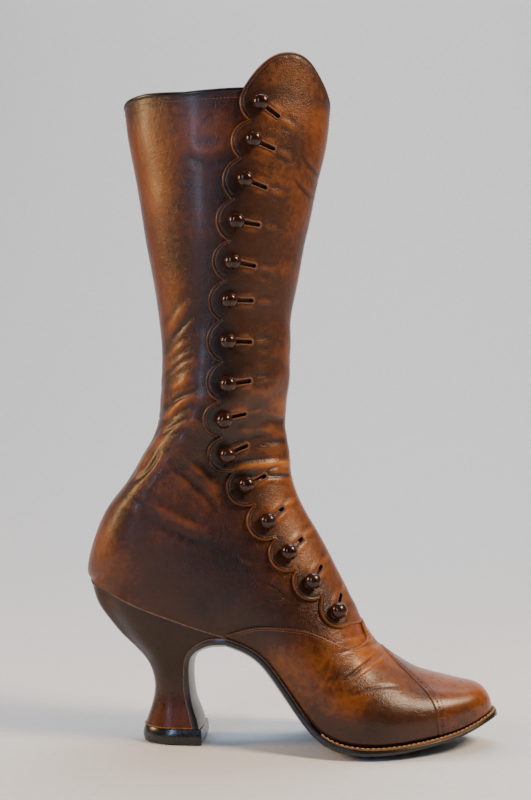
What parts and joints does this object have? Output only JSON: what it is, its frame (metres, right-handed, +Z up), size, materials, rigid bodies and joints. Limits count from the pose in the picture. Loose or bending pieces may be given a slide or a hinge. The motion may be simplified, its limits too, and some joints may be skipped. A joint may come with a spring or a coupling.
{
  "type": "high button boot",
  "caption": "Lady's high button boot for the right foot, with a scalloped fly, toe cap and curved covered heel.",
  "frame": {"origin": "middle of the boot's box, on the floor it stands on", "axes": "+X from heel to toe, +Y to the inner side of the foot, +Z up"},
  "size_m": [0.2454, 0.091, 0.4045],
  "materials": {
    "quarter_leather": "glossy fine-grained calf",
    "vamp_leather": "glossy fine-grained calf",
    "cap_leather": "glossy fine-grained calf",
    "fly_leather": "glossy fine-grained calf",
    "heel_leather": "glossy calf over the heel block",
    "top_lift_leather": "polished black",
    "blacked_sole_leather": "blacked and waxed edge",
    "welt_leather": "tan, matt",
    "insole_leather": "plain tan, matt",
    "button_glass": "high gloss, dark brown"
  },
  "bodies": {
    "root": {"upper": "quarter_leather", "vamp": "vamp_leather", "toe_cap": "cap_leather", "button_fly": "fly_leather", "heel": "heel_leather", "top_lift": "top_lift_leather", "outsole": "blacked_sole_leather", "welt": "welt_leather", "insole": "insole_leather", "button_01": "button_glass", "button_02": "button_glass", "button_03": "button_glass", "button_04": "button_glass", "button_05": "button_glass", "button_06": "button_glass", "button_07": "button_glass", "button_08": "button_glass", "button_09": "button_glass", "button_10": "button_glass", "button_11": "button_glass", "button_12": "button_glass", "button_13": "button_glass", "button_14": "button_glass", "button_15": "button_glass"}
  },
  "joints": []
}
